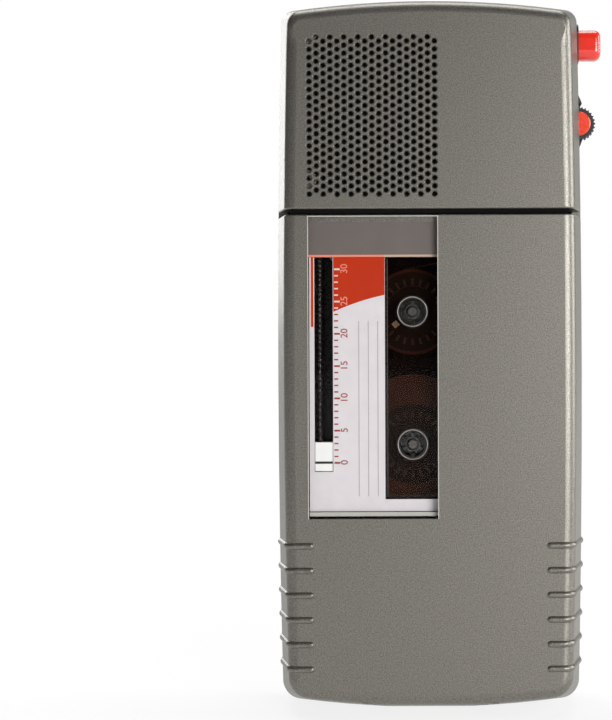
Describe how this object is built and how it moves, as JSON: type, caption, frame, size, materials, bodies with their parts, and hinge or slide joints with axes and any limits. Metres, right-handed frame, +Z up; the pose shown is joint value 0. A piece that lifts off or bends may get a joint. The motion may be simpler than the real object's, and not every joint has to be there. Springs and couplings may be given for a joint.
{
  "type": "dictation machine",
  "caption": "Hand-held dictation machine: drafted case, hinged windowed door over an index cassette, grille, side record button and thumbwheel, full tape drive inside.",
  "frame": {"origin": "centre of the flat base, midway between front and back planes", "axes": "+X to the machine's right as seen from the front, +Y to the back, +Z up along the case"},
  "size_m": [0.0665, 0.0254, 0.144],
  "materials": {
    "case_paint": "satin metallic taupe grey",
    "black_plastic": "moulded",
    "clear_plastic": "clear polished",
    "mask_grey": "printed",
    "spring_steel": "spring steel",
    "zinc_screw": "zinc plated",
    "dark_screw": "blackened steel",
    "cell_wrap": "plastic sleeve",
    "deck_steel": "zinc plated sheet",
    "brass_bearing": "sintered",
    "bright_steel": "ground",
    "flywheel_brass": "turned",
    "belt_rubber": "moulded",
    "grey_nylon": "moulded",
    "cassette_black": "moulded",
    "cassette_smoke": "smoked clear",
    "label_paper": "printed paper",
    "hub_black": "moulded",
    "tape_brown": "coated film",
    "felt": "felt",
    "pointer_white": "moulded",
    "cloth_black": "woven",
    "speaker_frame": "pressed",
    "cone_paper": "pressed paper",
    "magnet_grey": "sintered",
    "board_green": "lacquered laminate",
    "component_black": "moulded",
    "head_metal": "lapped",
    "pinch_rubber": "ground",
    "red_plastic": "moulded",
    "orange_plastic": "moulded"
  },
  "bodies": {
    "case": {"rear_shell": "case_paint", "head_cover": "case_paint", "mid_frame": "black_plastic", "case_screws": "dark_screw", "battery_tray": "black_plastic", "battery_cell_lower": "cell_wrap", "battery_cell_upper": "cell_wrap", "battery_contacts": "spring_steel", "chassis_deck": "deck_steel", "deck_screws": "zinc_screw", "capstan_bearing": "brass_bearing", "motor_can": "deck_steel", "drive_belt": "belt_rubber", "speaker_cloth": "cloth_black", "speaker_basket": "speaker_frame", "speaker_cone": "cone_paper", "speaker_magnet": "magnet_grey", "circuit_board": "board_green", "board_components": "component_black", "jack_sockets": "black_plastic", "microphone_capsule": "component_black", "button_bezel": "black_plastic", "record_spring": "spring_steel", "side_bezel": "black_plastic", "volume_pot": "grey_nylon", "board_switches": "component_black"},
    "door": {"door_shell": "case_paint", "hinge_pins": "bright_steel", "window_pane": "clear_plastic", "window_mask": "mask_grey", "cassette_spring": "spring_steel", "door_latch": "grey_nylon"},
    "battery_lid": {"battery_cover": "case_paint"},
    "cassette": {"cassette_front_half": "cassette_black", "cassette_back_half": "cassette_black", "cassette_window": "cassette_smoke", "cassette_label": "label_paper", "guide_rollers": "grey_nylon", "pressure_pad": "felt", "tape_run": "tape_brown"},
    "supply_reel": {"supply_hub": "hub_black", "supply_tape_pack": "tape_brown"},
    "takeup_reel": {"takeup_hub": "hub_black", "takeup_tape_pack": "tape_brown"},
    "index_rod": {"index_screw": "component_black"},
    "index_mark": {"index_pointer": "pointer_white"},
    "capstan": {"flywheel": "flywheel_brass", "capstan_shaft": "bright_steel"},
    "motor_rotor": {"motor_pulley": "brass_bearing"},
    "clutch": {"takeup_clutch": "grey_nylon"},
    "supply_drive": {"supply_spindle": "grey_nylon"},
    "takeup_drive": {"takeup_spindle": "grey_nylon"},
    "head_carriage": {"head_plate": "deck_steel", "record_play_head": "head_metal", "erase_head": "head_metal"},
    "pinch": {"pinch_roller": "pinch_rubber"},
    "button": {"record_button": "red_plastic"},
    "wheel": {"volume_wheel": "black_plastic", "volume_cap": "orange_plastic"},
    "slider": {"function_slider": "black_plastic"}
  },
  "joints": [
    {"name": "door_open", "type": "hinge", "parent": "case", "child": "door", "pos_m": [0, -0.008, 0.005], "axis": [1, 0, 0], "range_deg": [0, 45]},
    {"name": "cassette_lift", "type": "slide", "parent": "case", "child": "cassette", "axis": [0, -1, 0], "range_m": [0, 0.024]},
    {"name": "supply_reel_turn", "type": "hinge", "parent": "cassette", "child": "supply_reel", "pos_m": [-0.0035, -0.005, 0.0538], "axis": [0, -1, 0], "continuous": true},
    {"name": "takeup_reel_turn", "type": "hinge", "parent": "cassette", "child": "takeup_reel", "pos_m": [-0.0035, -0.005, 0.0804], "axis": [0, -1, 0], "continuous": true},
    {"name": "index_screw_turn", "type": "hinge", "parent": "cassette", "child": "index_rod", "pos_m": [-0.0222, -0.0084, 0.07], "axis": [0, 0, 1], "continuous": true},
    {"name": "index_pointer_rise", "type": "slide", "parent": "cassette", "child": "index_mark", "axis": [0, 0, 1], "range_m": [0, 0.0387]},
    {"name": "capstan_turn", "type": "hinge", "parent": "case", "child": "capstan", "pos_m": [0.0192, 0.001, 0.052], "axis": [0, -1, 0], "continuous": true},
    {"name": "motor_turn", "type": "hinge", "parent": "case", "child": "motor_rotor", "pos_m": [0.017, 0.0016, 0.084], "axis": [0, -1, 0], "continuous": true},
    {"name": "takeup_clutch_turn", "type": "hinge", "parent": "case", "child": "clutch", "pos_m": [-0.0035, -0.005, 0.0804], "axis": [0, -1, 0], "continuous": true},
    {"name": "supply_spindle_turn", "type": "hinge", "parent": "case", "child": "supply_drive", "pos_m": [-0.0035, -0.005, 0.0538], "axis": [0, -1, 0], "continuous": true},
    {"name": "takeup_spindle_turn", "type": "hinge", "parent": "case", "child": "takeup_drive", "pos_m": [-0.0035, -0.005, 0.0804], "axis": [0, -1, 0], "continuous": true},
    {"name": "head_plate_slide", "type": "slide", "parent": "case", "child": "head_carriage", "axis": [-1, 0, 0], "range_m": [0, 0.0019]},
    {"name": "pinch_roller_turn", "type": "hinge", "parent": "head_carriage", "child": "pinch", "pos_m": [0.02445, -0.0059, 0.052], "axis": [0, -1, 0], "continuous": true},
    {"name": "function_slide", "type": "slide", "parent": "case", "child": "slider", "axis": [0, 0, 1], "range_m": [0, 0.004]},
    {"name": "record_press", "type": "slide", "parent": "case", "child": "button", "axis": [-1, 0, 0], "range_m": [0, 0.0014], "stiffness_N_per_m": 400, "springref_m": -0.001, "deforming": ["record_spring"]},
    {"name": "volume_turn", "type": "hinge", "parent": "case", "child": "wheel", "pos_m": [0.03075, 0.0012, 0.1193], "axis": [0, -1, 0], "range_deg": [-150, 150]},
    {"name": "battery_cover_lift", "type": "slide", "parent": "case", "child": "battery_lid", "axis": [0, 1, 0], "range_m": [0, 0.02]}
  ],
  "couplings": [
    {"joint": "cassette_lift", "follows": "door_open", "m_per_rad": 0.030557},
    {"joint": "supply_reel_turn", "follows": "capstan_turn", "ratio": 0.053957},
    {"joint": "takeup_reel_turn", "follows": "capstan_turn", "ratio": 0.087209},
    {"joint": "supply_spindle_turn", "follows": "capstan_turn", "ratio": 0.053957},
    {"joint": "takeup_spindle_turn", "follows": "capstan_turn", "ratio": 0.087209},
    {"joint": "takeup_clutch_turn", "follows": "capstan_turn", "ratio": 1.9231},
    {"joint": "motor_turn", "follows": "capstan_turn", "ratio": 3.7234},
    {"joint": "pinch_roller_turn", "follows": "capstan_turn", "ratio": -0.34091},
    {"joint": "head_plate_slide", "follows": "function_slide", "ratio": 0.475},
    {"joint": "index_screw_turn", "follows": "index_pointer_rise", "rad_per_m": 5236}
  ]
}
